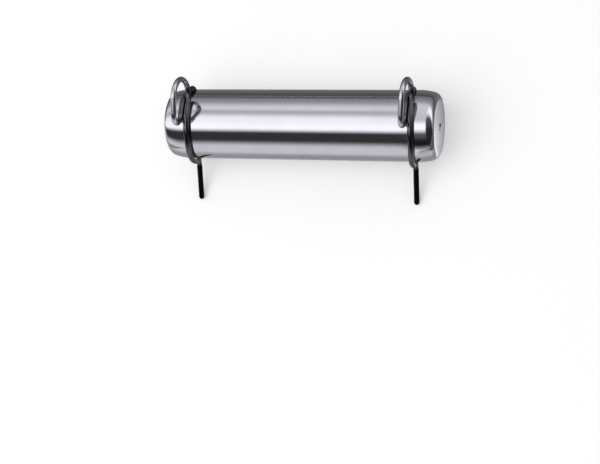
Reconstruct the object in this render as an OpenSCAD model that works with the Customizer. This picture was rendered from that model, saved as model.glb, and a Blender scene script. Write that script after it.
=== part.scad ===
// Headless clevis pin held by two wire spring clips.
// The pin lies along X with the middle of its axis at the origin. It is at rest on its side: the
// tips of both clip legs are down beside it, and the clips' finger loops are on top.

/* [Pin] */
// Diameter of the pin
pin_d = 25.4; // [24:0.1:30]
// Length of the pin over its end faces
pin_len = 100; // [80:1:160]
// Length of the crowned stretch at each end, with its rounded edge
crown_len = 6.8; // [5:0.1:8]
// Radius of the crown's arc
crown_r = 18; // [12:0.5:40]
// Radius of the rounded edge between the crown and the end face
edge_r = 2.5; // [1:0.1:3]
// Diameter of the lathe centre in each end face
centre_d = 3.2; // [2:0.1:5]

/* [Cross holes] */
// Distance from an end face to the axis of its cross hole
hole_inset = 8.9; // [8:0.1:14]
// Diameter of a cross hole
hole_d = 2.8; // [2.5:0.1:3.2]
// Diameter of the countersink, measured level with the top of the pin
sink_d = 5; // [4.8:0.1:6]

/* [Clips] */
// Diameter of the spring wire
wire_d = 2; // [1.8:0.05:2.2]
// Gap between the wire and the pin that it hugs
wire_gap = 0.15; // [0.1:0.05:0.3]
// Distance from the pin's axis to the tip of the straight leg
leg_reach = 28.7; // [24:0.1:40]
// Radius of the bend where the leg comes out of its hole
bend_r = 2.5; // [2.2:0.1:3]
// Radius of the finger loop's lower end
loop_low_r = 4.2; // [3.5:0.1:4.4]
// Radius of the finger loop's upper end
loop_top_r = 5.8; // [5:0.1:6.5]
// Angle around the pin, from the leg's hole, where the wire turns out into the loop
loop_from = 64.5; // [62:0.5:68]
// Angle around the pin, from the leg's hole, where the outer arm stops
arm_to = 165; // [140:1:165]
// Gap under the tips of the legs, which the give of real wire takes up
tip_gap = 0.15; // [0.1:0.05:0.3]

/* [Hidden] */

pin_r = pin_d / 2;
half_len = pin_len / 2;
hole_x = half_len - hole_inset;
wire_r = wire_d / 2;

// The crown's arc is tangent to the side of the pin, and the edge's arc to the crown and the face
edge_from = asin((crown_len - edge_r) / (crown_r - edge_r));
edge_at = [pin_r - crown_r + (crown_r - edge_r) * cos(edge_from), half_len - edge_r];
centre_half_angle = 30;
centre_depth = centre_d / 2 / tan(centre_half_angle);
cut_extra = 1;
section_turn = -172.98;

// The wire's line around the pin, and the places where its arcs meet
hug_r = pin_r + wire_gap + wire_r;
bend_meets = asin(bend_r / (hug_r - bend_r));
bend_v = (hug_r - bend_r) * cos(bend_meets);
low_c = (hug_r + loop_low_r) * [sin(loop_from), cos(loop_from)];
top_u = low_c[0] + loop_low_r - loop_top_r;
loop_to = asin(top_u / (hug_r + loop_top_r));
top_c = [top_u, (hug_r + loop_top_r) * cos(loop_to)];

// The wire lies beside itself where the loop closes: each strand is half a pitch to one side
side_pitch = wire_d + 0.1;
side_on_by = 45;
side_off_from = 100;
side_off_by = 160;

// How the swept wire is divided
wire_sides = 20;
bend_steps = 10;
hug_steps = 12;
low_steps = 20;
top_steps = 30;
arm_steps = 24;
dome_angles = [15, 40, 65];

// The clips lean until the tips of their legs are down at the level of the pin's lowest line
leg_dip = asin((pin_r - tip_gap - wire_r) / (leg_reach - wire_r));
lean = leg_dip - 90;

function smooth(t) = let (s = max(0, min(1, t))) s * s * (3 - 2 * s);
function unit(v) = v / norm(v);

// A point at an angle around a centre. Angle 0 is up the leg's line, 90 is the clip's open side.
function around(c, r, a) = [c[0] + r * sin(a), c[1] + r * cos(a)];

// Each station of the wire is [side, out, up]: along the pin, out from the leg, up the leg's line
function leg_line() = [[0, 0, wire_r - leg_reach], [0, 0, 0]];

function bend_line() =
    [for (i = [0:bend_steps])
        let (p = around([bend_r, bend_v], bend_r, -90 + (90 + bend_meets) * i / bend_steps))
        [0, p[0], p[1]]];

function hug_line() =
    [for (i = [1:hug_steps])
        let (a = bend_meets + (loop_from - bend_meets) * i / hug_steps, p = around([0, 0], hug_r, a))
        [-side_pitch / 2 * smooth((a - bend_meets) / (side_on_by - bend_meets)), p[0], p[1]]];

// Lengths around the loop set how far the wire has crept sideways
low_sweep = loop_from + 90;
top_sweep = loop_to + 170;
low_run = loop_low_r * low_sweep * PI / 180;
limb_run = top_c[1] - low_c[1];
top_run = loop_top_r * top_sweep * PI / 180;
loop_run = low_run + limb_run + top_run;
function creep(run) = side_pitch * (smooth(run / loop_run) - 0.5);

function low_line() =
    [for (i = [1:low_steps])
        let (t = i / low_steps, p = around(low_c, loop_low_r, loop_from + 180 - low_sweep * t))
        [creep(low_run * t), p[0], p[1]]];

function top_line() =
    [for (i = [0:top_steps])
        let (t = i / top_steps, p = around(top_c, loop_top_r, 90 - (270 - loop_to) * t))
        [creep(low_run + limb_run + top_run * t), p[0], p[1]]];

function arm_line() =
    [for (i = [1:arm_steps])
        let (a = loop_to + (arm_to - loop_to) * i / arm_steps, p = around([0, 0], hug_r, a))
        [side_pitch / 2 * (1 - smooth((a - side_off_from) / (side_off_by - side_off_from))), p[0], p[1]]];

wire_line = concat(leg_line(), bend_line(), hug_line(), low_line(), top_line(), arm_line());

// What the crown and its rounded edge take off the corner of the pin's half section
module crown_corner() {
    edge_out = 2 * edge_r;
    translate([pin_r - crown_r, half_len - crown_len])
        difference() {
            square([crown_r + cut_extra, crown_len + cut_extra]);
            circle(r = crown_r, $fn = 720);
        }
    translate(edge_at)
        difference() {
            polygon([
                [0, 0], edge_out * [cos(edge_from), sin(edge_from)], [edge_out, edge_out], [0, edge_out]
            ]);
            circle(r = edge_r, $fn = 180);
        }
}

// The half section has its radius along X and its length along Y. A coarse mesh of the shaft has its
// flats where the turn starts, so it is turned to bring one of them level underneath.
module crowned_shaft() {
    rotate([section_turn, 0, 0]) rotate([0, -90, 0])
        rotate_extrude($fn = 180)
            difference() {
                translate([0, -half_len]) square([pin_r, pin_len]);
                crown_corner();
                mirror([0, 1]) crown_corner();
            }
}

// The cutting cone runs on past the end face
module lathe_centre() {
    cone_len = centre_depth + cut_extra;
    translate([half_len - centre_depth, 0, 0])
        rotate([0, 90, 0])
            cylinder(h = cone_len, r1 = 0, r2 = cone_len * tan(centre_half_angle), $fn = 48);
}

// One end of a cross hole, with its countersink, along +Z
module sunk_hole() {
    sink_depth = (sink_d - hole_d) / 2;
    translate([0, 0, -cut_extra])
        cylinder(h = pin_r + 2 * cut_extra, d = hole_d, $fn = 48);
    translate([0, 0, pin_r - sink_depth])
        cylinder(h = sink_depth + cut_extra, d1 = hole_d, d2 = sink_d + 2 * cut_extra, $fn = 48);
}

module pin() {
    color("gainsboro")
        difference() {
            crowned_shaft();
            rotate([lean, 0, 0])
                for (side = [0, 1])
                    mirror([side, 0, 0]) {
                        lathe_centre();
                        translate([hole_x, 0, 0]) {
                            sunk_hole();
                            mirror([0, 0, 1]) sunk_hole();
                        }
                    }
        }
}

// The wire clip, swept as one tube with rounded tips
module clip() {
    last = len(wire_line) - 1;
    places = [for (p = wire_line) [p[0], -p[1], p[2]]];
    ways = [for (i = [0:last]) unit(places[min(i + 1, last)] - places[max(i - 1, 0)])];
    stations = concat(
        [for (a = dome_angles) [places[0] - wire_r * cos(a) * ways[0], ways[0], wire_r * sin(a)]],
        [for (i = [0:last]) [places[i], ways[i], wire_r]],
        [for (i = [len(dome_angles) - 1:-1:0])
            let (a = dome_angles[i])
            [places[last] + wire_r * cos(a) * ways[last], ways[last], wire_r * sin(a)]]
    );
    count = len(stations);
    points = [
        for (s = stations)
            let (across = unit(cross(s[1], [1, 0, 0])), beside = cross(s[1], across))
            for (k = [0:wire_sides - 1])
                let (a = 360 * k / wire_sides)
                s[0] + s[2] * (cos(a) * across + sin(a) * beside)
    ];
    walls = [
        for (i = [0:count - 2])
            for (k = [0:wire_sides - 1])
                let (n = (k + 1) % wire_sides, b = i * wire_sides, t = b + wire_sides)
                [b + k, t + k, t + n, b + n]
    ];
    start_cap = [for (k = [0:wire_sides - 1]) k];
    end_cap = [for (k = [wire_sides - 1:-1:0]) (count - 1) * wire_sides + k];
    color("silver")
        rotate([lean, 0, 0])
            polyhedron(points = points, faces = concat([start_cap], walls, [end_cap]));
}

module clip_left() {
    translate([-hole_x, 0, 0]) clip();
}

module clip_right() {
    translate([hole_x, 0, 0]) clip();
}

pin();
clip_left();
clip_right();
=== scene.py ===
"""Looks for a headless clevis pin held by two wire spring clips.

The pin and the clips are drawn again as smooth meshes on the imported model's own sizes, and each
surface gets a finish of its own. Lengths are in metres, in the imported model's frame: +X runs along
the pin, -Y is the side that the legs of the clips point to, and +Z is up.
"""

import logging
import math
from collections.abc import Callable, Sequence
from dataclasses import dataclass, field
from enum import Enum

import bpy
from bpy.types import Material, Mesh, MeshPolygon, Node, NodeSocket, Object, World
from mathutils import Euler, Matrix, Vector


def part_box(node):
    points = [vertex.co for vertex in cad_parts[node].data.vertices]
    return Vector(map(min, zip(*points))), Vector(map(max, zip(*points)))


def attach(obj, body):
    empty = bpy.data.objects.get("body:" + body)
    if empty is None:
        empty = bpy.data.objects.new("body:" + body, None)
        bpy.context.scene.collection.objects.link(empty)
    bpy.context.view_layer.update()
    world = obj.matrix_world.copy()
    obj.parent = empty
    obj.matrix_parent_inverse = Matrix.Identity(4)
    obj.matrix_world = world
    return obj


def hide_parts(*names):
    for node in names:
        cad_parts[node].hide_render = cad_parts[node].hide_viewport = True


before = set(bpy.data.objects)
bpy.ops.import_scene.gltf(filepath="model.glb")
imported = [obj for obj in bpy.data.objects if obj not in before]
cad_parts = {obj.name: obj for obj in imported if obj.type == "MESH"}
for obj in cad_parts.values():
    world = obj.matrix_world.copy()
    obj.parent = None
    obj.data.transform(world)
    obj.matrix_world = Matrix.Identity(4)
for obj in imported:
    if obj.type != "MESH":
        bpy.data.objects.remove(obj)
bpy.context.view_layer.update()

MM = 0.001
MICRON = 0.000001
ALONG_X = Vector((1.0, 0.0, 0.0))
PIN_AXIS = (0.0, 0.0)
# The least share of X in the normal of a flat end face
FLAT = 0.99
# The pitch of the faint rings around the polished bar
BAR_RING_PITCH = 0.45 * MM
WHITE = (1.0, 1.0, 1.0, 1.0)
CARD_STEPS = 180
# The gap between the floor and the cards on it, and between cards that lie over each other
CARD_LIFT = 0.1 * MM
# How far the longest cards reach
FAR = 4.0
WIRE_MAP = "wire"
LEVEL = "level"
LOG = logging.getLogger("clevis_pin")

Point = tuple[float, float]
Triple = tuple[float, float, float]


class Side(Enum):
    """An end of the pin. The value is the sign of its X."""

    LEFT = -1
    RIGHT = 1

    @property
    def node(self) -> str:
        """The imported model's node for the clip at this end."""
        return f"clip_{self.name.lower()}"


class PinSurface(Enum):
    """A surface of the pin. The value is its material's index on the mesh."""

    SIDE = 0
    END = 1
    DRILLED = 2


class Metal(Enum):
    """A plated or bare metal, as the colour it reflects face on."""

    CHROME = (0.505, 0.495, 0.55)
    # Painted shade: the turned ends' chrome is darker than the side's, standing in for the shadowed floor
    # the end faces reflect
    SHADED_TURNED_CHROME = (0.36, 0.35, 0.39)
    BARE_STEEL = (0.30, 0.295, 0.30)
    # Painted shade: the wire is darkened so its wraps and arm show dark reflections
    SHADED_SPRING_WIRE = (0.085, 0.082, 0.092)
    # Painted highlight: the bright reflection on the finger loop and on the leg's neck below the pin
    PAINTED_HIGHLIGHT_WIRE = (0.43, 0.425, 0.46)
    # Painted shade: the legs' dark reflection, painted black
    PAINTED_SHADE_WIRE = (0.02, 0.02, 0.022)


def smooth_step(share: float) -> float:
    """The share, held between 0 and 1 and eased at both ends."""
    held = max(0.0, min(1.0, share))
    return held * held * (3 - 2 * held)


def shares(steps: int, first: int = 1) -> list[float]:
    """Even shares up to 1 in this many steps, from the first one. Step 0 is a share of 0."""
    return [step / steps for step in range(first, steps + 1)]


def around(centre: Point, radius: float, degrees: float) -> Point:
    """A point at an angle around a centre: 0 is up the leg's line, and 90 is the clip's open side."""
    angle = math.radians(degrees)
    return centre[0] + radius * math.sin(angle), centre[1] + radius * math.cos(angle)


def lathe(
    rows: Sequence[Point], segments: int, place: Callable[[float, float, float], Vector]
) -> tuple[list[Vector], list[list[int]], list[int]]:
    """Turns a profile around an axis. A row with no radius becomes one vertex.

    Args:
        rows: The profile, as (distance along the axis, radius).
        segments: How many faces go around.
        place: The point for a distance along the axis, a radius and an angle in radians.

    Returns:
        The vertices, the faces, and for each face the row that it starts from.
    """
    points: list[Vector] = []
    rings: list[list[int]] = []
    for along, radius in rows:
        count = segments if radius > 0 else 1
        start = len(points)
        points += [place(along, radius, math.tau * i / segments) for i in range(count)]
        rings.append([start + i % count for i in range(segments)])
    faces, starts = [], []
    for row, (near, far) in enumerate(zip(rings, rings[1:])):
        for i in range(segments):
            j = (i + 1) % segments
            corners = list(dict.fromkeys((near[i], far[i], far[j], near[j])))
            faces.append(corners)
            starts.append(row)
    return points, faces, starts


def new_object(name: str, mesh: Mesh) -> Object:
    """Makes an object for a mesh and links it to the scene.

    Args:
        name: The object's name.
        mesh: Its mesh.

    Returns:
        The new object.
    """
    made = bpy.data.objects.new(name, mesh)
    bpy.context.scene.collection.objects.link(made)
    return made


class Graph:
    """A material's or a world's node tree, built a node at a time."""

    def __init__(self, owner: Material | World) -> None:
        """Empties the owner's node tree.

        Args:
            owner: The material or world whose nodes are made here.
        """
        owner.use_nodes = True
        self.tree = owner.node_tree
        self.tree.nodes.clear()

    def feed(self, socket: NodeSocket, value: object) -> None:
        """Gives an input a value, or links another socket to it.

        Args:
            socket: The input.
            value: The value, or the socket to link.
        """
        if isinstance(value, NodeSocket):
            self.tree.links.new(value, socket)
        else:
            socket.default_value = value

    def add(self, kind: str, **inputs: object) -> Node:
        """Adds a node.

        Args:
            kind: The node's type, without its ShaderNode prefix.
            **inputs: Its inputs. An underscore stands for a space in an input's name.

        Returns:
            The new node.
        """
        node = self.tree.nodes.new(f"ShaderNode{kind}")
        for name, value in inputs.items():
            self.feed(node.inputs[name.replace("_", " ")], value)
        return node

    def math(self, operation: str, *values: float | NodeSocket) -> NodeSocket:
        """Adds a Math node.

        Args:
            operation: The node's operation, such as MULTIPLY.
            *values: Its operands.

        Returns:
            The socket of the result.
        """
        node = self.tree.nodes.new("ShaderNodeMath")
        node.operation = operation
        for socket, value in zip(node.inputs, values):
            self.feed(socket, value)
        return node.outputs[0]

    def scaled(self, place: NodeSocket, scale: Triple, turn_deg: float = 0.0) -> NodeSocket:
        """Turns a place about Z and scales it along each axis.

        Args:
            place: The place to scale.
            scale: The three factors.
            turn_deg: The turn about Z, in degrees.

        Returns:
            The socket of the scaled place.
        """
        if turn_deg:
            turned = self.add("VectorRotate", Vector=place, Angle=math.radians(turn_deg))
            turned.rotation_type = "Z_AXIS"
            place = turned.outputs[0]
        node = self.add("VectorMath")
        node.operation = "MULTIPLY"
        self.feed(node.inputs[0], place)
        self.feed(node.inputs[1], scale)
        return node.outputs[0]

    def noise(self, place: NodeSocket, detail: float = 2.0) -> NodeSocket:
        """Adds a noise texture of scale 1, whose value is about 0.5 on average."""
        return self.add("TexNoise", Vector=place, Scale=1.0, Detail=detail).outputs[0]

    def ranged(self, value: NodeSocket, start: Point, end: Point = (0.0, 1.0)) -> NodeSocket:
        """Maps a value from one range to another and holds it there.

        Args:
            value: The value to map.
            start: The two ends of the range that comes in.
            end: What they become.

        Returns:
            The socket of the mapped value.
        """
        node = self.add(
            "MapRange", Value=value, From_Min=start[0], From_Max=start[1], To_Min=end[0], To_Max=end[1]
        )
        return node.outputs[0]

    def mixed(self, share: NodeSocket, none: Triple | NodeSocket, full: Triple | NodeSocket) -> NodeSocket:
        """Mixes two colours.

        Args:
            share: How much of the second colour there is, from 0 to 1.
            none: The colour where the share is 0.
            full: The colour where it is 1.

        Returns:
            The socket of the mixed colour.
        """
        node = self.tree.nodes.new("ShaderNodeMix")
        node.data_type = "RGBA"
        by_kind = {(socket.name, socket.type): socket for socket in node.inputs}
        self.feed(by_kind["Factor", "VALUE"], share)
        for name, colour in (("A", none), ("B", full)):
            self.feed(by_kind[name, "RGBA"], colour if isinstance(colour, NodeSocket) else (*colour, 1.0))
        return next(socket for socket in node.outputs if socket.type == "RGBA")

    def bumped(self, heights: Sequence[tuple[NodeSocket, float]]) -> NodeSocket:
        """Stacks one or more bumps.

        Args:
            heights: Each bump's shape, and how far it stands out, from the broadest to the finest.

        Returns:
            The socket of the bumped normal.
        """
        normal = None
        for shape, proud in heights:
            bump = self.add("Bump", Height=shape, Strength=1.0, Distance=abs(proud))
            bump.invert = proud < 0
            if normal is not None:
                self.feed(bump.inputs["Normal"], normal)
            normal = bump.outputs[0]
        return normal

    def end(self, kind: str, shader: Node) -> None:
        """Ends the tree with an output of this kind, Material or World."""
        output = self.add(f"Output{kind}")
        self.feed(output.inputs["Surface"], shader.outputs[0])

    def seen(self) -> NodeSocket:
        """Tells rays that show something from those that only light it.

        Returns:
            A socket that is 1 for rays from the camera and for those that metal or glass sends on.
        """
        path = self.add("LightPath").outputs
        sent_on = self.math("MAXIMUM", path["Is Glossy Ray"], path["Is Transmission Ray"])
        return self.math("MAXIMUM", path["Is Camera Ray"], sent_on)


@dataclass(frozen=True)
class Mark:
    """Marks on a metal.

    Attributes:
        proud: How far they stand out of the surface. Negative marks are cut in.
        roughness: What they add to the roughness where they are at their strongest.
    """

    proud: float
    roughness: float

    def cover(self, graph: Graph, place: NodeSocket) -> NodeSocket:
        """Where the marks are.

        Args:
            graph: The material's graph.
            place: Where its textures are read.

        Returns:
            A socket from 0 to 1. It is 1 where the marks are at their strongest.
        """
        raise NotImplementedError


@dataclass(frozen=True)
class Grain(Mark):
    """An uneven grain all over: a swell, a turned bar's rings or a die's lines.

    Attributes:
        scale: How fine it is each way, per metre. It is stretched where its scale is small.
        detail: How much finer grain there is in it.
    """

    scale: Triple
    detail: float

    def cover(self, graph: Graph, place: NodeSocket) -> NodeSocket:
        """The grain's own height, about a half on average."""
        return graph.noise(graph.scaled(place, self.scale), self.detail)


@dataclass(frozen=True)
class Flecks(Mark):
    """A few sharp marks: scratches where they are stretched, and pits where they aren't.

    Attributes:
        scale: How fine they are each way, per metre: small along a scratch and large across it.
        least: How high a noise has to be for a mark. Nearer 1 leaves fewer of them.
        turn_deg: Their turn about Z.
        detail: How ragged they are.
        edge: How much higher the noise is where a mark reaches its full depth.
    """

    scale: Triple
    least: float
    turn_deg: float = 0.0
    detail: float = 1.0
    edge: float = 0.04

    def cover(self, graph: Graph, place: NodeSocket) -> NodeSocket:
        """Where a noise comes near the top of its range."""
        noise = graph.noise(graph.scaled(place, self.scale, self.turn_deg), self.detail)
        return graph.ranged(noise, (self.least, self.least + self.edge))


@dataclass(frozen=True)
class ToolRings(Mark):
    """The even rings around the pin's axis that a turning tool leaves on a face."""

    pitch: float

    def cover(self, graph: Graph, place: NodeSocket) -> NodeSocket:
        """The rings' own height.

        Args:
            graph: The material's graph.
            place: Where its textures are read.

        Returns:
            A socket that goes from 0 to 1 and back within a pitch.
        """
        axes = graph.add("SeparateXYZ", Vector=place).outputs
        squares = [graph.math("MULTIPLY", axes[axis], axes[axis]) for axis in "YZ"]
        off_axis = graph.math("SQRT", graph.math("ADD", *squares))
        wave = graph.math("SINE", graph.math("MULTIPLY", off_axis, math.tau / self.pitch))
        return graph.ranged(wave, (-1.0, 1.0))


@dataclass(frozen=True)
class MetalFinish:
    """A metal surface.

    Attributes:
        name: The material's name.
        metal: The metal or plating.
        roughness: How rough it is where there is no haze on it.
        marks: Its marks, from the broadest to the finest.
        haze: What the haze adds to its roughness.
        haze_size: How far apart the patches of haze are.
        haze_from: The haze's noise where it starts.
        rough_at: The haze's noise where the roughness is at its highest.
        dark_at: The haze's noise where the colour is at its darkest.
        stain: How much the haze darkens the colour.
    """

    name: str
    metal: Metal
    roughness: float
    marks: tuple[Mark, ...]
    haze: float = 0.04
    haze_size: float = 9 * MM
    haze_from: float = 0.35
    rough_at: float = 0.70
    dark_at: float = 0.75
    stain: float = 0.06

    def material(self) -> Material:
        """Makes the material.

        Returns:
            A metallic material with uneven haze and colour, and the finish's own marks.
        """
        made = bpy.data.materials.new(self.name)
        graph = Graph(made)
        place = self.place(graph)
        per_patch = 1 / self.haze_size
        haze = graph.noise(graph.scaled(place, (per_patch, per_patch, per_patch)), detail=4.0)
        hazy = (self.roughness, self.roughness + self.haze)
        roughness = graph.ranged(haze, (self.haze_from, self.rough_at), hazy)
        heights = []
        for mark in self.marks:
            cover = mark.cover(graph, place)
            heights.append((cover, mark.proud))
            if mark.roughness:
                roughness = graph.math("MULTIPLY_ADD", cover, mark.roughness, roughness)
        shader = graph.add(
            "BsdfPrincipled",
            Metallic=1.0,
            Roughness=roughness,
            Base_Color=self.colour(graph, place, haze),
            Normal=graph.bumped(heights),
        )
        graph.end("Material", shader)
        return made

    def place(self, graph: Graph) -> NodeSocket:
        """Where the finish's textures are read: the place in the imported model's frame."""
        return graph.add("TexCoord").outputs["Object"]

    def colour(self, graph: Graph, place: NodeSocket, haze: NodeSocket) -> NodeSocket:
        """The metal's colour, a little darker where its haze is thick.

        Args:
            graph: The material's graph.
            place: Where its textures are read. Only a finish that changes along its piece needs it.
            haze: The haze's noise.

        Returns:
            The socket of the colour.
        """
        stained = tuple(part * (1 - self.stain) for part in self.metal.value)
        return graph.mixed(graph.ranged(haze, (self.haze_from, self.dark_at)), self.metal.value, stained)


@dataclass(frozen=True)
class DrawnWire(MetalFinish):
    """Tempered spring wire, painted with light and shade along it: black along its leg as painted shade,
    and bright by its hole and on its loop as painted highlight.

    Attributes:
        painted_leg_shade: Where the painted shade along the leg starts to thin, and where it ends, from
            the leg's tip.
        painted_highlight: The stretches of painted highlight, each as its start, where it is at full
            strength, where that ends, and its end.
    """

    # The painted shade and the painted highlights, in metres along the wire from its leg's tip
    painted_leg_shade: Point = (12.6 * MM, 14 * MM)
    painted_highlight: tuple[tuple[float, float, float, float], ...] = (
        (13 * MM, 14 * MM, 17 * MM, 19 * MM),
        (57 * MM, 63 * MM, 85 * MM, 91 * MM),
    )

    def place(self, graph: Graph) -> NodeSocket:
        """Where the finish's textures are read.

        Args:
            graph: The material's graph.

        Returns:
            A socket of the turns around the wire and the metres along it.
        """
        wound = graph.add("UVMap")
        wound.uv_map = WIRE_MAP
        return wound.outputs[0]

    def colour(self, graph: Graph, place: NodeSocket, haze: NodeSocket) -> NodeSocket:
        """The metal's colour, with painted light: black along the leg as painted shade, bright by the hole
        and on the loop as painted highlight, and darkened elsewhere as painted shade.

        Args:
            graph: The material's graph.
            place: Where its textures are read.
            haze: The haze's noise. It roughens the wire, and leaves its colour alone.

        Returns:
            The socket of the colour.
        """
        along = graph.add("SeparateXYZ", Vector=place).outputs["Y"]
        metal = self.metal.value
        # Each stretch mixes in the painted highlight
        for starts, full, ends, over in self.painted_highlight:
            rises = graph.ranged(along, (starts, full))
            painted_highlight = graph.math("MULTIPLY", rises, graph.ranged(along, (ends, over), (1.0, 0.0)))
            metal = graph.mixed(painted_highlight, metal, Metal.PAINTED_HIGHLIGHT_WIRE.value)
        # Painted shade: black over the leg, from its tip
        return graph.mixed(graph.ranged(along, self.painted_leg_shade), Metal.PAINTED_SHADE_WIRE.value, metal)


@dataclass
class ClevisPin:
    """The pin: a crowned bar with a lathe centre in each end and a countersunk hole near it.

    Attributes:
        radius: The shank's radius.
        half_len: Half the pin's length.
        hole_x: How far from the pin's middle its cross holes are.
        lean_deg: How far the cross holes lean back from upright.
        crown_len: The length of a crowned end, with its rounded edge.
        crown_r: The radius of the crown's arc.
        edge_r: The radius of the rounded edge between the crown and the end face.
        centre_d: The diameter of a lathe centre.
        centre_half_deg: Half of a lathe centre's cone angle.
        hole_d: The diameter of a cross hole.
        sink_d: The diameter of a countersink, level with the top of the pin.
        cut_extra: How far a drill runs on past the shank.
        segments: How many faces go around the pin.
        drill_segments: How many go around a hole.
        shank_steps: How many rows of faces half the shank has.
        crown_steps: How many the crown's arc has.
        edge_steps: How many the rounded edge has.
        face_steps: How many the flat face has.
        cone_steps: How many a lathe centre has.
    """

    radius: float
    half_len: float
    hole_x: float
    lean_deg: float
    crown_len: float = 6.8 * MM
    crown_r: float = 18.0 * MM
    edge_r: float = 2.5 * MM
    centre_d: float = 3.2 * MM
    centre_half_deg: float = 30.0
    hole_d: float = 2.8 * MM
    sink_d: float = 5.0 * MM
    cut_extra: float = 1.0 * MM
    segments: int = 288
    drill_segments: int = 72
    shank_steps: int = 12
    crown_steps: int = 16
    edge_steps: int = 28
    face_steps: int = 6
    cone_steps: int = 4

    def __post_init__(self) -> None:
        """Works out where the crown's arc and the edge's arc are, and where they meet."""
        reach = self.crown_r - self.edge_r
        meets = math.asin((self.crown_len - self.edge_r) / reach)
        self.meets_deg = math.degrees(meets)
        self.crown_c = (self.half_len - self.crown_len, self.radius - self.crown_r)
        self.edge_c = (self.half_len - self.edge_r, self.crown_c[1] + reach * math.cos(meets))
        self.meets_x = self.crown_c[0] + self.crown_r * math.sin(meets)
        lean = math.radians(self.lean_deg)
        self.hole_way = Vector((0.0, math.sin(lean), math.cos(lean)))
        self.sink_from = self.radius - (self.sink_d - self.hole_d) / 2

    def half_profile(self) -> list[Point]:
        """The right half of the pin's profile.

        Returns:
            Its rows, as (X, radius), from the pin's middle to the bottom of the lathe centre.
        """
        shank = [(self.crown_c[0] * t, self.radius) for t in shares(self.shank_steps, first=0)]
        crown = [around(self.crown_c, self.crown_r, self.meets_deg * t) for t in shares(self.crown_steps)]
        sweep = 90 - self.meets_deg
        edge = [
            around(self.edge_c, self.edge_r, self.meets_deg + sweep * t) for t in shares(self.edge_steps)
        ]
        face_r, centre_r = edge[-1][1], self.centre_d / 2
        depth = centre_r / math.tan(math.radians(self.centre_half_deg))
        face = [(self.half_len, face_r + (centre_r - face_r) * t) for t in shares(self.face_steps)]
        cone = [(self.half_len - depth * t, centre_r * (1 - t)) for t in shares(self.cone_steps)]
        return [*shank, *crown, *edge, *face, *cone]

    def around_axis(self, along: float, radius: float, angle: float) -> Vector:
        """A point around the pin's axis."""
        return Vector((along, radius * math.sin(angle), radius * math.cos(angle)))

    def bar(self) -> Object:
        """The bar with no holes in it.

        Returns:
            Its object, with each face marked as side or end.
        """
        half = self.half_profile()
        rows = [(-x, r) for x, r in reversed(half[1:])] + half
        points, faces, starts = lathe(rows, self.segments, self.around_axis)
        mesh = bpy.data.meshes.new("pin_body")
        mesh.from_pydata(points, [], faces)
        for polygon, row in zip(mesh.polygons, starts):
            on_end = max(rows[row][1], rows[row + 1][1]) <= self.edge_c[1] + MICRON
            polygon.material_index = (PinSurface.END if on_end else PinSurface.SIDE).value
        return new_object("pin_body", mesh)

    def drill(self, side: Side) -> Object:
        """The shape that a cross hole and its two countersinks take out of the bar.

        Args:
            side: The end of the pin that the hole is at.

        Returns:
            Its object, with each face marked as drilled.
        """
        past = self.radius + self.cut_extra
        wide = self.hole_d / 2 + past - self.sink_from
        half = [(self.sink_from, self.hole_d / 2), (past, wide), (past, 0.0)]
        rows = [(-along, radius) for along, radius in reversed(half)] + half
        beside = self.hole_way.cross(ALONG_X)
        centre = side.value * self.hole_x * ALONG_X

        def place(along: float, radius: float, angle: float) -> Vector:
            """A point around the hole's axis, at an angle from the pin's axis."""
            out = math.cos(angle) * ALONG_X + math.sin(angle) * beside
            return centre + along * self.hole_way + radius * out

        points, faces, _ = lathe(rows, self.drill_segments, place)
        mesh = bpy.data.meshes.new("drill")
        mesh.from_pydata(points, [], faces)
        for polygon in mesh.polygons:
            polygon.material_index = PinSurface.DRILLED.value
        return new_object("drill", mesh)

    def normal(self, polygon: MeshPolygon, point: Vector) -> Vector:
        """The true surface's normal at a corner of a face.

        Args:
            polygon: The face.
            point: The corner.

        Returns:
            The normal of the turned or drilled surface that the face is on.
        """
        side = math.copysign(1.0, point.x)
        if polygon.material_index == PinSurface.DRILLED.value:
            off = point - side * self.hole_x * ALONG_X
            inward = -(off - off.dot(self.hole_way) * self.hole_way).normalized()
            middle = polygon.center.dot(self.hole_way)
            if abs(middle) > self.sink_from:
                return (inward + math.copysign(1.0, middle) * self.hole_way).normalized()
            return inward
        if polygon.material_index == PinSurface.END.value:
            on_face = abs(polygon.normal.x) > FLAT
            return side * ALONG_X if on_face else polygon.normal.copy()
        x, radius = abs(point.x), math.hypot(point.y, point.z)
        out = Vector((0.0, point.y, point.z)).normalized()
        if x <= self.crown_c[0] + MICRON:
            return out
        centre = self.edge_c if x > self.meets_x else self.crown_c
        return (side * (x - centre[0]) * ALONG_X + (radius - centre[1]) * out).normalized()

    def build(self) -> Object:
        """Makes the pin, drilled and dressed.

        Returns:
            The pin's object.
        """
        bar = self.bar()
        materials = [PIN_FINISHES[surface].material() for surface in PinSurface]
        drills = [self.drill(side) for side in Side]
        for piece in (bar, *drills):
            for material in materials:
                piece.data.materials.append(material)
        for drill in drills:
            cut = bar.modifiers.new(drill.name, "BOOLEAN")
            cut.operation = "DIFFERENCE"
            cut.solver = "EXACT"
            cut.object = drill
        shown = bar.evaluated_get(bpy.context.evaluated_depsgraph_get())
        drilled = bpy.data.meshes.new_from_object(shown)
        for drill in drills:
            bpy.data.objects.remove(drill)
        bar.modifiers.clear()
        bar.data = drilled
        drilled.name = "pin_body"
        drilled.shade_smooth()
        points = drilled.vertices
        drilled.normals_split_custom_set([
            self.normal(polygon, points[corner].co)
            for polygon in drilled.polygons
            for corner in polygon.vertices
        ])
        return bar


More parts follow.
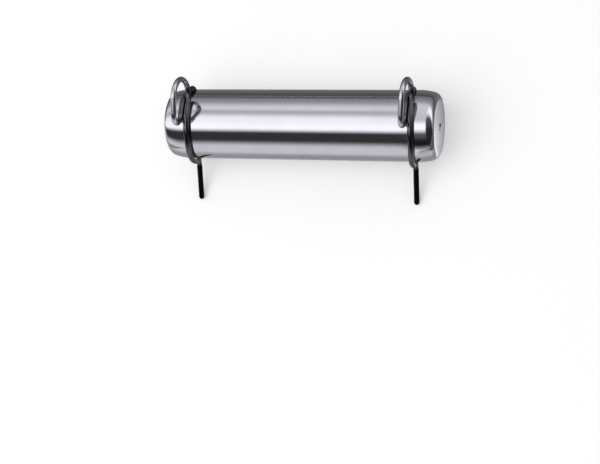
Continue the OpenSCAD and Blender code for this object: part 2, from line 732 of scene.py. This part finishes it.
@dataclass
class WireClip:
    """A spring clip: a leg through the pin, a wrap half round it, and a finger loop between.

    Its angles are in degrees around the pin, from the leg's hole. Its line is made of stations, each
    (side, out, up): along the pin, out from the leg, and up the leg's own line.

    Attributes:
        side: The end of the pin that it is on.
        pin_r: The pin's radius.
        hole_x: How far from the pin's middle its hole is.
        wire_r: The wire's radius.
        wire_gap: The gap between the wire and the pin.
        leg_reach: How far the leg's tip is from the pin's axis.
        tip_gap: The gap under the leg's tip.
        bend_r: The radius of the bend where the leg comes out of its hole.
        loop_low_r: The radius of the finger loop's lower end.
        loop_top_r: The radius of its upper end.
        loop_from: Where the wire turns out into the loop.
        arm_to: Where the outer arm stops.
        side_pitch: How far apart the wire's two strands are where they pass.
        side_on_by: Where the inner strand has moved fully aside.
        side_off_from: Where the outer arm starts to move back in line.
        side_off_by: Where it is back in line.
        creep_extra: With loop_to, the sweep of the upper end that the wire's creep is spread over.
        wire_sides: How many faces go around the wire.
        dome_steps: How many rows of faces a tip has.
        leg_steps: How many the leg has, up to the pin's axis.
        rise_steps: How many it has from there to the bend.
        bend_steps: How many the bend has.
        hug_steps: How many the inner strand has.
        low_steps: How many the loop's lower end has.
        top_steps: How many its upper end has.
        arm_steps: How many the outer arm has.
    """

    side: Side
    pin_r: float
    hole_x: float
    wire_r: float = 1.0 * MM
    wire_gap: float = 0.15 * MM
    leg_reach: float = 28.7 * MM
    tip_gap: float = 0.15 * MM
    bend_r: float = 2.5 * MM
    loop_low_r: float = 4.2 * MM
    loop_top_r: float = 5.8 * MM
    loop_from: float = 64.5
    arm_to: float = 165.0
    side_pitch: float = 2.1 * MM
    side_on_by: float = 45.0
    side_off_from: float = 100.0
    side_off_by: float = 160.0
    creep_extra: float = 170.0
    wire_sides: int = 32
    dome_steps: int = 9
    leg_steps: int = 24
    rise_steps: int = 9
    bend_steps: int = 24
    hug_steps: int = 36
    low_steps: int = 48
    top_steps: int = 72
    arm_steps: int = 72

    def __post_init__(self) -> None:
        """Works out where the clip's arcs meet."""
        self.hug_r = self.pin_r + self.wire_gap + self.wire_r
        self.bend_meets = math.degrees(math.asin(self.bend_r / (self.hug_r - self.bend_r)))
        self.bend_c = (self.bend_r, (self.hug_r - self.bend_r) * math.cos(math.radians(self.bend_meets)))
        self.low_c = around(PIN_AXIS, self.hug_r + self.loop_low_r, self.loop_from)
        top_u = self.low_c[0] + self.loop_low_r - self.loop_top_r
        self.loop_to = math.degrees(math.asin(top_u / (self.hug_r + self.loop_top_r)))
        self.top_c = (top_u, (self.hug_r + self.loop_top_r) * math.cos(math.radians(self.loop_to)))
        self.low_run = self.loop_low_r * math.radians(self.loop_from + 90)
        self.limb_run = self.top_c[1] - self.low_c[1]
        self.top_run = self.loop_top_r * math.radians(self.loop_to + self.creep_extra)

    @property
    def lean_deg(self) -> float:
        """How far the clips lean for the tips of their legs to come down beside the pin."""
        rise = self.pin_r - self.tip_gap - self.wire_r
        return 90 - math.degrees(math.asin(rise / (self.leg_reach - self.wire_r)))

    def creep(self, run: float) -> float:
        """How far the wire has crept sideways, a run's length into the loop."""
        return self.side_pitch * (smooth_step(run / (self.low_run + self.limb_run + self.top_run)) - 0.5)

    def leg_line(self) -> list[Triple]:
        """The straight leg, from its tip through the pin to the bend.

        Returns:
            Its stations.
        """
        foot = self.wire_r - self.leg_reach
        below = [(0.0, 0.0, foot * (1 - t)) for t in shares(self.leg_steps, first=0)]
        return below + [(0.0, 0.0, self.bend_c[1] * t) for t in shares(self.rise_steps)[:-1]]

    def bend_line(self) -> list[Triple]:
        """The bend where the leg comes out of its hole.

        Returns:
            Its stations.
        """
        sweep = 90 + self.bend_meets
        turns = [sweep * t - 90 for t in shares(self.bend_steps, first=0)]
        return [(0.0, *around(self.bend_c, self.bend_r, turn)) for turn in turns]

    def hug_line(self) -> list[Triple]:
        """The inner strand, which hugs the pin and moves aside to make room for the outer arm.

        Returns:
            Its stations.
        """
        line = []
        for share in shares(self.hug_steps):
            angle = self.bend_meets + (self.loop_from - self.bend_meets) * share
            aside = smooth_step((angle - self.bend_meets) / (self.side_on_by - self.bend_meets))
            line.append((-self.side_pitch / 2 * aside, *around(PIN_AXIS, self.hug_r, angle)))
        return line

    def loop_line(self) -> list[Triple]:
        """The finger loop, its lower end first.

        Returns:
            Its stations.
        """
        line = []
        for share in shares(self.low_steps):
            angle = self.loop_from + 180 - (self.loop_from + 90) * share
            line.append((self.creep(self.low_run * share), *around(self.low_c, self.loop_low_r, angle)))
        for share in shares(self.top_steps, first=0):
            angle = 90 - (270 - self.loop_to) * share
            run = self.low_run + self.limb_run + self.top_run * share
            line.append((self.creep(run), *around(self.top_c, self.loop_top_r, angle)))
        return line

    def arm_line(self) -> list[Triple]:
        """The outer arm, which follows the pin around its back.

        Returns:
            Its stations.
        """
        line = []
        for share in shares(self.arm_steps):
            angle = self.loop_to + (self.arm_to - self.loop_to) * share
            back = smooth_step((angle - self.side_off_from) / (self.side_off_by - self.side_off_from))
            line.append((self.side_pitch / 2 * (1 - back), *around(PIN_AXIS, self.hug_r, angle)))
        return line

    def line(self) -> list[Vector]:
        """The wire's whole line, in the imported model's frame."""
        parts = (self.leg_line(), self.bend_line(), self.hug_line(), self.loop_line(), self.arm_line())
        return [self.placed(*station) for part in parts for station in part]

    def placed(self, side: float, out: float, up: float) -> Vector:
        """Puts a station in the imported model's frame.

        Args:
            side: How far it is along the pin from the clip's hole.
            out: How far it is out from the leg.
            up: How far it is up the leg's line from the pin's axis.

        Returns:
            Its point.
        """
        lean = math.radians(self.lean_deg)
        cos, sin = math.cos(lean), math.sin(lean)
        x = self.side.value * self.hole_x + side
        return Vector((x, up * sin - out * cos, up * cos + out * sin))

    def sections(self) -> list[tuple[Vector, Vector, float]]:
        """The wire's cross sections, with those of its domed tips.

        Returns:
            Each as (middle, direction, radius), from the leg's tip to the arm's.
        """
        line = self.line()
        last = len(line) - 1
        ways = [(line[min(i + 1, last)] - line[max(i - 1, 0)]).normalized() for i in range(last + 1)]
        body = [(middle, way, self.wire_r) for middle, way in zip(line, ways)]
        domes = []
        for middle, outward, way in ((line[0], -ways[0], ways[0]), (line[-1], ways[-1], ways[-1])):
            turns = [math.radians(90 * t) for t in shares(self.dome_steps, first=0)[:-1]]
            domes.append([
                (middle + self.wire_r * math.cos(turn) * outward, way, self.wire_r * math.sin(turn))
                for turn in turns
            ])
        foot, tip = domes
        return [*foot, *body, *reversed(tip)]

    def build(self) -> Object:
        """Makes the clip, dressed.

        Returns:
            The clip's object.
        """
        sections = self.sections()
        along = [0.0]
        for (here, _, _), (there, _, _) in zip(sections, sections[1:]):
            along.append(along[-1] + (there - here).length)

        def place(number: float, radius: float, angle: float) -> Vector:
            """A point around the wire.

            Args:
                number: The cross section's number.
                radius: How far the point is from the wire's line.
                angle: Its angle around that line, in radians.

            Returns:
                The point.
            """
            middle, way, _ = sections[int(number)]
            across = way.cross(ALONG_X).normalized()
            return middle + radius * (math.cos(angle) * across + math.sin(angle) * way.cross(across))

        rows = [(i, section[2]) for i, section in enumerate(sections)]
        points, faces, starts = lathe(rows, self.wire_sides, place)
        name = f"{self.side.name.lower()}_clip"
        mesh = bpy.data.meshes.new(name)
        mesh.from_pydata(points, [], faces)
        wound = mesh.uv_layers.new(name=WIRE_MAP)
        for number, (polygon, row) in enumerate(zip(mesh.polygons, starts)):
            turn = number % self.wire_sides
            corners = [(turn, row), (turn, row + 1), (turn + 1, row + 1), (turn + 1, row)]
            # The end of a tip is one vertex, so its faces have three corners
            if rows[row][1] == 0:
                del corners[3]
            elif rows[row + 1][1] == 0:
                del corners[2]
            for loop, (turns, station) in zip(polygon.loop_indices, corners):
                wound.uv[loop].vector = (turns / self.wire_sides, along[station])
        mesh.shade_smooth()
        mesh.materials.append(WIRE_FINISH.material())
        return new_object(name, mesh)


@dataclass
class Card:
    """A card that is seen only in metal. It is as bright as its levels say.

    Attributes:
        name: The card's name.
        from_x: Where it starts along the pin.
        to_x: Where it ends.
        levels: Where across the pin its light is level, and how bright it is there. It eases between.
    """

    name: str
    from_x: float
    to_x: float
    levels: tuple[Point, ...]

    def level(self, place: float) -> float:
        """The card's brightness at a place across the pin.

        Args:
            place: The place, as its levels give theirs.

        Returns:
            The brightness there, where 1 is white.
        """
        for (low, first), (high, second) in zip(self.levels, self.levels[1:]):
            if place <= high:
                return first + (second - first) * smooth_step((place - low) / (high - low))
        return self.levels[-1][1]

    def point(self, place: float) -> Point:
        """The Y and Z of a place across the pin."""
        raise NotImplementedError

    def build(self) -> None:
        """Makes the card, hidden from the camera, from diffuse light and from shadows."""
        start, stop = self.levels[0][0], self.levels[-1][0]
        places = [start + (stop - start) * share for share in shares(CARD_STEPS, first=0)]
        points = [(x, *self.point(place)) for place in places for x in (self.from_x, self.to_x)]
        strips = [(i, i + 1, i + 3, i + 2) for i in range(0, 2 * CARD_STEPS, 2)]
        mesh = bpy.data.meshes.new(self.name)
        mesh.from_pydata(points, [], strips)
        level = mesh.attributes.new(LEVEL, "FLOAT", "POINT")
        level.data.foreach_set("value", [self.level(place) for place in places for _ in range(2)])
        material = bpy.data.materials.new(self.name)
        graph = Graph(material)
        shown = graph.add("Attribute")
        shown.attribute_name = LEVEL
        graph.end("Material", graph.add("Emission", Strength=shown.outputs["Fac"]))
        mesh.materials.append(material)
        card = new_object(self.name, mesh)
        card.visible_camera = card.visible_diffuse = card.visible_shadow = False


@dataclass
class LightArch(Card):
    """A card curved over the pin. A place on it is an angle up from the front of the floor, in degrees."""

    radius: float = 0.40

    def point(self, place: float) -> Point:
        """The Y and Z of an angle up from the front of the floor."""
        angle = math.radians(place)
        return -self.radius * math.cos(angle), self.radius * math.sin(angle)


@dataclass
class FloorCard(Card):
    """A card that lies on the floor. A place on it is its Y."""

    z: float = 0.0

    def point(self, place: float) -> Point:
        """The Y and Z of a place."""
        return place, self.z


@dataclass
class Studio:
    """The floor, the lamp, the world and the cards around the part.

    Attributes:
        floor_z: The floor's height.
        floor_half: Half the floor's width.
        floor_colour: How pale it is.
        floor_roughness: How rough it is.
        floor_glow: What is added to it where it is seen.
        ambient: How bright the world is where it lights the part. It is 1 where it is seen.
        key_place: Where the lamp is. It points at the middle of the pin.
        key_size: The lamp's width.
        key_watts: Its power.
        cards: The cards that metal shows.
    """

    floor_z: float
    floor_half: float = 8.0
    floor_colour: float = 0.80
    floor_roughness: float = 0.9
    floor_glow: float = 0.30
    ambient: float = 0.58
    key_place: Triple = (-0.35, -0.20, 0.85)
    key_size: float = 0.9
    key_watts: float = 4.0
    cards: list[Card] = field(default_factory=list)

    def build(self) -> None:
        """Makes the world, the floor, the lamp and the cards."""
        self.world()
        self.floor()
        self.key()
        for card in self.cards:
            card.build()
            LOG.info("card %s: x %.3f to %.3f", card.name, card.from_x, card.to_x)

    def world(self) -> None:
        """A white world, plain where it lights the part and full where it is seen."""
        world = bpy.data.worlds.new("studio")
        bpy.context.scene.world = world
        graph = Graph(world)
        strength = graph.ranged(graph.seen(), start=(0.0, 1.0), end=(self.ambient, 1.0))
        graph.end("World", graph.add("Background", Strength=strength, Color=WHITE))

    def floor(self) -> None:
        """A pale floor, lifted to white where it is seen, with the part's shadow left on it."""
        half = self.floor_half
        mesh = bpy.data.meshes.new("floor")
        corners = [(-half, -half), (half, -half), (half, half), (-half, half)]
        mesh.from_pydata([(x, y, self.floor_z) for x, y in corners], [], [(0, 1, 2, 3)])
        material = bpy.data.materials.new("floor")
        graph = Graph(material)
        glow = graph.math("MULTIPLY", graph.seen(), self.floor_glow)
        pale = (self.floor_colour, self.floor_colour, self.floor_colour, 1.0)
        shader = graph.add(
            "BsdfPrincipled",
            Base_Color=pale,
            Roughness=self.floor_roughness,
            Specular_IOR_Level=0.0,
            Emission_Color=WHITE,
            Emission_Strength=glow,
        )
        graph.end("Material", shader)
        mesh.materials.append(material)
        new_object("floor", mesh)

    def key(self) -> None:
        """A broad soft lamp overhead, which gives the shadow. Metal shows the cards in its place."""
        lamp = bpy.data.lights.new("key", "AREA")
        lamp.size = self.key_size
        lamp.energy = self.key_watts
        shown = bpy.data.objects.new("key", lamp)
        bpy.context.scene.collection.objects.link(shown)
        shown.location = self.key_place
        shown.rotation_euler = (-Vector(self.key_place)).to_track_quat("-Z", "Y").to_euler()
        shown.visible_glossy = False


@dataclass
class Camera:
    """The camera: where it stands, how it is turned, its lens, and the nearest and furthest it sees."""

    place: Triple = (0.1358, -0.1065, 0.4465)
    turn_deg: Triple = (9.51, 16.01, 4.58)
    lens_mm: float = 79.2
    nearest: float = 0.01
    furthest: float = 50.0

    def build(self) -> None:
        """Makes the camera and gives it to the scene."""
        data = bpy.data.cameras.new("camera")
        data.lens = self.lens_mm
        data.clip_start = self.nearest
        data.clip_end = self.furthest
        made = bpy.data.objects.new("camera", data)
        bpy.context.scene.collection.objects.link(made)
        made.location = self.place
        made.rotation_euler = Euler([math.radians(turn) for turn in self.turn_deg])
        bpy.context.scene.camera = made


PIN_FINISHES: dict[PinSurface, MetalFinish] = {
    PinSurface.SIDE: MetalFinish("polished_chrome", Metal.CHROME, roughness=0.06, marks=(
        Grain(12 * MICRON, 0.0, scale=(70.0, 45.0, 45.0), detail=1.0),
        Grain(0.35 * MICRON, 0.02, scale=(1 / BAR_RING_PITCH, 20.0, 20.0), detail=3.0),
        Flecks(-0.8 * MICRON, 0.10, scale=(25.0, 1500.0, 1500.0), least=0.72, turn_deg=6.0),
        Flecks(-0.8 * MICRON, 0.08, scale=(1300.0, 60.0, 60.0), least=0.74, turn_deg=-14.0),
        Flecks(-2 * MICRON, 0.15, scale=(900.0, 900.0, 900.0), least=0.74, detail=2.0),
    )),
    # Painted shade: the end faces' colour is darker than the side's, standing in for the shadowed floor
    # they reflect
    PinSurface.END: MetalFinish("turned_end", Metal.SHADED_TURNED_CHROME, roughness=0.22, haze=0.08, marks=(
        ToolRings(1.6 * MICRON, 0.06, pitch=0.30 * MM),
        Flecks(-1.5 * MICRON, 0.12, scale=(1.0, 40.0, 1600.0), least=0.72),
    )),
    PinSurface.DRILLED: MetalFinish(
        "drilled_steel", Metal.BARE_STEEL, roughness=0.30, haze=0.10, haze_size=1.5 * MM,
        marks=(Grain(0.3 * MICRON, 0.0, scale=(3500.0, 3500.0, 3500.0), detail=2.0),),
    ),
}
# Its colours along the wire are painted light: dark wraps and arm and a black leg as painted shade, and a
# bright loop as painted highlight
WIRE_FINISH = DrawnWire(
    "drawn_wire", Metal.SHADED_SPRING_WIRE, roughness=0.14, haze=0.05, haze_size=0.5,
    marks=(
        Grain(0.8 * MICRON, 0.05, scale=(26.0, 45.0, 1.0), detail=2.0),
        Flecks(-1 * MICRON, 0.12, scale=(30.0, 900.0, 1.0), least=0.74),
    ),
)

# Levels of light for the cards. Over an arch their places are in degrees up from the front of the
# floor, and on the floor they are in metres from front to back.
SHANK_LEVELS = (
    (-1, 1.05), (26, 0.06), (48, 0.06), (66, 1.93), (94, 1.7), (117, 0.78), (130, 1.2), (160, 0.48),
    (181, 0.12),
)
CROWN_LEVELS = (
    (-1, 0.48), (16, 0.02), (26, 0.02), (49, 0.16), (71, 1.95), (78, 1.95), (97, 1.0), (141, 1.15),
    (166, 0.48), (181, 0.26),
)
FAR_LEVELS = (
    (-1, 0.18), (14, 0.03), (60, 0.04), (100, 0.14), (127, 1.85), (135, 1.8), (160, 0.5), (181, 0.25),
)
BACK_LEVELS = ((0.013, 0.24), (0.09, 0.14), (0.40, 0.16))
FRONT_LEVELS = ((-0.60, 1.05), (-0.05, 1.05), (-0.02, 0.46), (-0.013, 0.5))
CROWN_FLOOR_LEVELS = ((-0.30, 0.55), (-0.10, 0.62), (-0.04, 0.85))
LEFT_LEVELS = ((-0.10, 0.36), (-0.05, 0.46), (-0.013, 0.8))
RIM_LEVELS = ((-0.013, 1.3), (-0.002, 1.45), (0.007, 1.0), (0.013, 0.9))
FACE_LEVELS = ((-0.013, 0.62), (0.0, 0.66), (0.013, 0.4))
RIGHT_LEVELS = ((-0.40, 0.5), (-0.15, 0.12), (-0.02, 0.18), (0.013, 0.34))


def cards(floor_z: float) -> list[Card]:
    """The cards that the metal shows: arches over the pin, and strips on the floor around it.

    Args:
        floor_z: The floor's height.

    Returns:
        The cards, not yet built.
    """
    under, over = floor_z + CARD_LIFT, floor_z + 2 * CARD_LIFT
    return [
        LightArch("long_arch", -FAR, -0.04, SHANK_LEVELS),
        LightArch("crown_arch", -0.04, 0.15, CROWN_LEVELS),
        LightArch("far_arch", 0.15, FAR, FAR_LEVELS),
        FloorCard("back_card", -FAR, FAR, BACK_LEVELS, under),
        FloorCard("left_card", -0.6, -0.075, LEFT_LEVELS, over),
        FloorCard("front_card", -0.3, 0.075, FRONT_LEVELS, under),
        FloorCard("crown_card", 0.036, 0.075, CROWN_FLOOR_LEVELS, over),
        FloorCard("face_card", 0.0503, 0.0532, FACE_LEVELS, under),
        FloorCard("rim_card", 0.0532, 0.075, RIM_LEVELS, under),
        FloorCard("right_card", 0.075, 1.0, RIGHT_LEVELS, under),
    ]


def main() -> None:
    """Builds the part, the studio and the camera."""
    logging.basicConfig(level=logging.INFO, format="%(name)s: %(message)s")
    _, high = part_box("pin")
    left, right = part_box(Side.RIGHT.node)
    clips = [WireClip(side, pin_r=high.z, hole_x=(left.x + right.x) / 2) for side in Side]
    pin = ClevisPin(high.z, high.x, clips[0].hole_x, clips[0].lean_deg)
    built = [(pin.build(), "pin", "pin_steel")]
    built += [(clip.build(), clip.side.node, "clip_wire") for clip in clips]
    for piece, node, slot in built:
        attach(piece, "root")
        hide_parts(node)
        LOG.info("%s stands for %s: %d faces", piece.name, node, len(piece.data.polygons))
    Studio(floor_z=-high.z, cards=cards(-high.z)).build()
    Camera().build()
    bpy.context.scene.view_settings.view_transform = "Standard"


if __name__ == "__main__":
    main()
